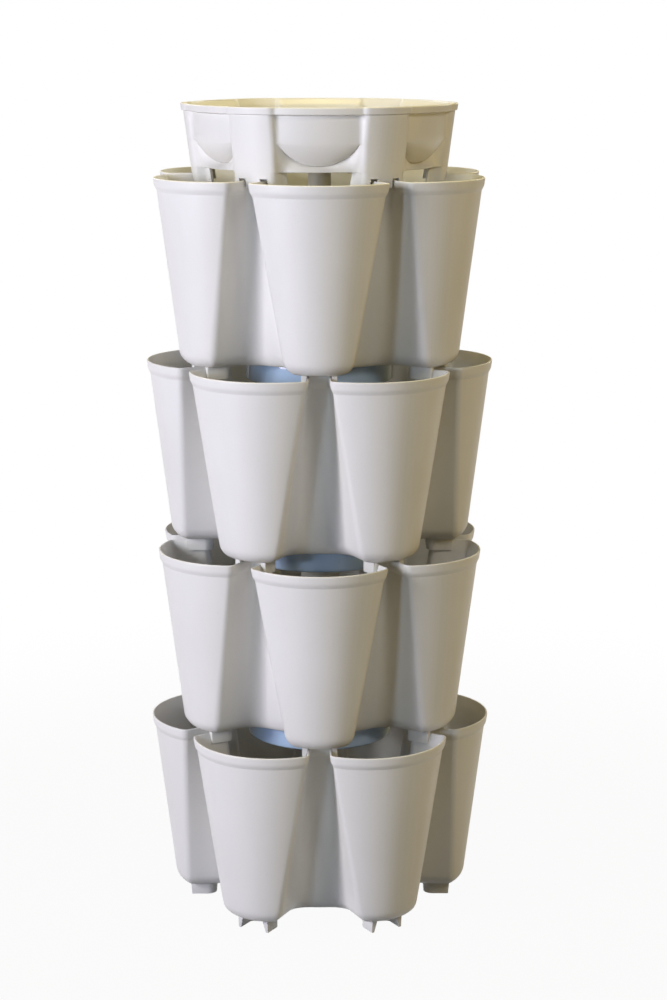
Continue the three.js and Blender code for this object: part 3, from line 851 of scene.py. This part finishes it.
def cut_bowl(piece, seat, turn):
    """Opens the gaps between the lobes' legs, slots the legs over the channel walls and adds
    their ribs."""
    cutter = Shell()
    ribs = Shell()
    low = -LOBE_DROP - CUT_MARGIN
    high = SKIRT_HEIGHT - GAP_SHY
    rib_far = RIM_BACK + BAND_STEP
    rib_top = SKIRT_HEIGHT + BOWL_WALL / 2
    rib_half = LOBE_HALF - RIB_MARGIN
    slot_inner = RIM_THROAT - BAND_STEP - NOTCH_CLEARANCE
    gap_outline = [(-GAP_HALF_LOW, low), (GAP_HALF_LOW, low),
                   (GAP_HALF_HIGH, high), (-GAP_HALF_HIGH, high)]
    rib_outline = [(-rib_half, 0.0), (rib_half, 0.0), (rib_half, rib_top), (-rib_half, rib_top)]
    for i in range(LOBES):
        gap = prism(gap_outline, CUT_NEAR, CUT_FAR, (i + 0.5) * SECTOR)
        cutter.add(gap.points, gap.faces)
        for side in (1, -1):
            slot = [(slot_inner * side, low), (SLOT_OUTER * side, low),
                    (SLOT_OUTER * side, NOTCH_CLEARANCE), (slot_inner * side, NOTCH_CLEARANCE)]
            if side < 0:
                slot.reverse()
            notch = prism(slot, rib_far, CUT_FAR, i * SECTOR)
            cutter.add(notch.points, notch.faces)
        rib = prism(rib_outline, rib_far - TIER_WALL, rib_far, i * SECTOR)
        ribs.add(rib.points, rib.faces)
    knife = mesh_object("knife", cutter, seat, turn)
    turn_outward(knife.data)
    cut_away(piece, knife)
    shaped = bpy.data.meshes.new_from_object(
        piece.evaluated_get(bpy.context.evaluated_depsgraph_get()))
    piece.modifiers.clear()
    rib_piece = mesh_object("ribs", ribs, seat, turn)
    turn_outward(rib_piece.data, shaped)
    piece.data = shaped
    shade(shaped)
    bpy.data.objects.remove(knife)
    bpy.data.objects.remove(rib_piece)


def node(tree, kind, place, **values):
    made = tree.nodes.new(kind)
    made.location = place
    for key, value in values.items():
        setattr(made, key, value)
    return made


def fill(made, **values):
    """Sets a node's named inputs, with an underscore for each space in a name."""
    for key, value in values.items():
        made.inputs[key.replace("_", " ")].default_value = value


def plastic(name, pale, shade_colour, roughness, spread, grain, grain_height, coat):
    """Moulded plastic: slow drift of colour, faint flow streaks, a fine moulded grain."""
    material = bpy.data.materials.new(name)
    material.use_nodes = True
    tree = material.node_tree
    tree.nodes.clear()
    link = tree.links.new
    out = node(tree, "ShaderNodeOutputMaterial", (900, 0))
    shader = node(tree, "ShaderNodeBsdfPrincipled", (600, 0))
    fill(shader, IOR=1.46, Coat_Weight=coat, Coat_Roughness=0.08)
    link(shader.outputs["BSDF"], out.inputs["Surface"])
    place = node(tree, "ShaderNodeTexCoord", (-1100, 0))
    drift = node(tree, "ShaderNodeTexNoise", (-800, 300))
    fill(drift, Scale=7.0, Detail=3.0)
    stretch = node(tree, "ShaderNodeMapping", (-1000, -100))
    fill(stretch, Scale=(60.0, 60.0, 5.0))
    streak = node(tree, "ShaderNodeTexNoise", (-800, 0))
    fill(streak, Scale=1.0, Detail=4.0)
    fine = node(tree, "ShaderNodeTexNoise", (-800, -300))
    fill(fine, Scale=grain, Detail=2.0)
    speck = node(tree, "ShaderNodeTexNoise", (-800, -560))
    fill(speck, Scale=420.0, Detail=1.0)
    for texture in (drift, fine, speck):
        link(place.outputs["Object"], texture.inputs["Vector"])
    link(place.outputs["Object"], stretch.inputs["Vector"])
    link(stretch.outputs["Vector"], streak.inputs["Vector"])
    blend = node(tree, "ShaderNodeMath", (-560, 180), operation="MULTIPLY_ADD")
    link(streak.outputs["Fac"], blend.inputs[0])
    blend.inputs[1].default_value = 0.35
    link(drift.outputs["Fac"], blend.inputs[2])
    tone = node(tree, "ShaderNodeMapRange", (-380, 180))
    link(blend.outputs["Value"], tone.inputs["Value"])
    fill(tone, From_Min=NOISE_LOW, From_Max=NOISE_HIGH)
    # A colour mix node has its factor at 0, its two colours at 6 and 7 and its result at 2.
    colour = node(tree, "ShaderNodeMix", (-160, 180), data_type="RGBA")
    colour.inputs[6].default_value = (*pale, 1.0)
    colour.inputs[7].default_value = (*shade_colour, 1.0)
    link(tone.outputs["Result"], colour.inputs[0])
    dots = node(tree, "ShaderNodeMapRange", (-380, -500))
    link(speck.outputs["Fac"], dots.inputs["Value"])
    fill(dots, From_Min=0.62, From_Max=0.80, To_Max=0.10)
    spotted = node(tree, "ShaderNodeMix", (120, 180), data_type="RGBA", blend_type="MULTIPLY")
    link(dots.outputs["Result"], spotted.inputs[0])
    link(colour.outputs[2], spotted.inputs[6])
    spotted.inputs[7].default_value = (0.72, 0.70, 0.66, 1.0)
    link(spotted.outputs[2], shader.inputs["Base Color"])
    rough = node(tree, "ShaderNodeMapRange", (120, -60))
    link(blend.outputs["Value"], rough.inputs["Value"])
    fill(rough, From_Min=NOISE_LOW, From_Max=NOISE_HIGH,
         To_Min=roughness - spread, To_Max=roughness + spread)
    link(rough.outputs["Result"], shader.inputs["Roughness"])
    bump = node(tree, "ShaderNodeBump", (120, -330))
    fill(bump, Strength=0.5, Distance=grain_height)
    link(fine.outputs["Fac"], bump.inputs["Height"])
    link(bump.outputs["Normal"], shader.inputs["Normal"])
    return material


def white_stage_material(name):
    """White to the camera, to reflections and through glass, with some of the shadow kept
    near the part, and plain matt grey to all other light."""
    material = bpy.data.materials.new(name)
    material.use_nodes = True
    tree = material.node_tree
    tree.nodes.clear()
    link = tree.links.new
    out = node(tree, "ShaderNodeOutputMaterial", (600, 0))
    paths = node(tree, "ShaderNodeLightPath", (-400, 200))
    first = node(tree, "ShaderNodeMath", (-200, 200), operation="MAXIMUM")
    second = node(tree, "ShaderNodeMath", (0, 200), operation="MAXIMUM")
    amount = node(tree, "ShaderNodeMath", (160, 200), operation="MULTIPLY")
    link(paths.outputs["Is Camera Ray"], first.inputs[0])
    link(paths.outputs["Is Glossy Ray"], first.inputs[1])
    link(first.outputs[0], second.inputs[0])
    link(paths.outputs["Is Transmission Ray"], second.inputs[1])
    link(second.outputs[0], amount.inputs[0])
    place = node(tree, "ShaderNodeTexCoord", (-600, -200))
    reach = node(tree, "ShaderNodeVectorMath", (-400, -200), operation="LENGTH")
    link(place.outputs["Object"], reach.inputs[0])
    share = node(tree, "ShaderNodeMapRange", (-200, -200), interpolation_type="SMOOTHSTEP")
    fill(share, From_Min=FADE_NEAR, From_Max=FADE_FAR, To_Min=SHADOW_WHITE)
    link(reach.outputs["Value"], share.inputs["Value"])
    link(share.outputs["Result"], amount.inputs[1])
    matt = node(tree, "ShaderNodeBsdfDiffuse", (160, 0))
    fill(matt, Color=(FLOOR_TONE, FLOOR_TONE, FLOOR_TONE, 1.0))
    glow = node(tree, "ShaderNodeEmission", (160, -160))
    fill(glow, Color=WHITE, Strength=1.0)
    choose = node(tree, "ShaderNodeMixShader", (400, 0))
    link(amount.outputs[0], choose.inputs[0])
    link(matt.outputs[0], choose.inputs[1])
    link(glow.outputs[0], choose.inputs[2])
    link(choose.outputs[0], out.inputs["Surface"])
    return material


def area_light(name, place, aim_height, size, power, colour):
    data = bpy.data.lights.new(name, "AREA")
    data.shape = "RECTANGLE"
    data.size, data.size_y = size
    data.energy = power
    data.color = colour
    lamp = bpy.data.objects.new(name, data)
    lamp.location = place
    aim = Vector((0.0, 0.0, aim_height)) - Vector(place)
    lamp.rotation_euler = aim.to_track_quat("-Z", "Y").to_euler()
    bpy.context.scene.collection.objects.link(lamp)
    lamp.visible_camera = False


def stage_plane(name, corners, material):
    mesh = bpy.data.meshes.new(name)
    mesh.from_pydata(corners, [], [(0, 1, 2, 3)])
    mesh.materials.append(material)
    plane = bpy.data.objects.new(name, mesh)
    bpy.context.scene.collection.objects.link(plane)


def room():
    """A world that gives no light and is white to the camera."""
    world = bpy.data.worlds.new("room")
    bpy.context.scene.world = world
    world.use_nodes = True
    tree = world.node_tree
    tree.nodes.clear()
    link = tree.links.new
    out = node(tree, "ShaderNodeOutputWorld", (600, 0))
    choose = node(tree, "ShaderNodeMixShader", (400, 0))
    paths = node(tree, "ShaderNodeLightPath", (0, 300))
    dark = node(tree, "ShaderNodeBackground", (200, 0))
    fill(dark, Strength=0.0)
    seen = node(tree, "ShaderNodeBackground", (200, -160))
    fill(seen, Color=WHITE, Strength=1.0)
    link(paths.outputs["Is Camera Ray"], choose.inputs[0])
    link(dark.outputs[0], choose.inputs[1])
    link(seen.outputs[0], choose.inputs[2])
    link(choose.outputs[0], out.inputs["Surface"])


def tier_seat(number):
    """The level of a tier's seat. Tier 1 is the top one, and the reservoir sits at 0's."""
    return FOOT_DEPTH + (TIERS - number) * PITCH


camera_data = bpy.data.cameras.new("camera")
camera_data.sensor_fit = "AUTO"
camera_data.sensor_width = SENSOR_WIDTH
camera_data.lens = LENS
camera = bpy.data.objects.new("camera", camera_data)
camera.location = CAMERA_PLACE
camera.rotation_euler = (math.radians(90 - CAMERA_TILT), 0.0, CAMERA_TURN)
bpy.context.scene.collection.objects.link(camera)
bpy.context.scene.camera = camera

stone = plastic("stone_plastic", (0.76, 0.745, 0.70), (0.725, 0.71, 0.66),
                roughness=0.46, spread=0.05, grain=900.0, grain_height=0.00012, coat=0.0)
cream = plastic("bowl_plastic", (0.76, 0.745, 0.70), (0.735, 0.72, 0.67),
                roughness=0.42, spread=0.05, grain=900.0, grain_height=0.00010, coat=0.0)
blue = plastic("disc_plastic", (0.46, 0.61, 0.81), (0.42, 0.56, 0.76),
               roughness=0.16, spread=0.05, grain=700.0, grain_height=0.00005, coat=1.0)

# Tiers 1 and 3 have a pocket at the middle of the front, and tiers 2 and 4 a channel. The
# disc with a tier's number stands on the column of the tier below it.
tier_base = tier_shell()
for number in range(1, TIERS + 1):
    seat = tier_seat(number)
    turn = SECTOR / 2 if number % 2 else 0.0
    piece = mesh_object(f"tier_{number}_moulding", tier_base, seat, turn)
    piece.data.materials.append(stone)
    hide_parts(f"tier_{number}")
    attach(piece, f"tier_{number}")

disc_base = disc_shell()
for number in range(1, TIERS):
    seat = tier_seat(number) - DISC_SINK
    turn = 0.0 if number % 2 else SECTOR / 2
    piece = mesh_object(f"water_disc_{number}_moulding", disc_base, seat, turn)
    piece.data.materials.append(blue)
    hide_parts(f"water_disc_{number}")
    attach(piece, f"water_disc_{number}")

bowl_seat = tier_seat(0)
bowl = mesh_object("reservoir_moulding", bowl_shell(), bowl_seat, 0.0)
cut_bowl(bowl, bowl_seat, 0.0)
bowl.data.materials.append(cream)
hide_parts("reservoir")
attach(bowl, "reservoir")

for lamp_row in LAMPS:
    area_light(*lamp_row)

floor_corners = [
    (x * FLOOR_HALF, y * FLOOR_HALF, -FLOOR_DROP) for x, y in ((-1, -1), (1, -1), (1, 1), (-1, 1))
]
stage_plane("floor", floor_corners, white_stage_material("floor_white"))
room()
bpy.context.scene.view_settings.view_transform = "Standard"
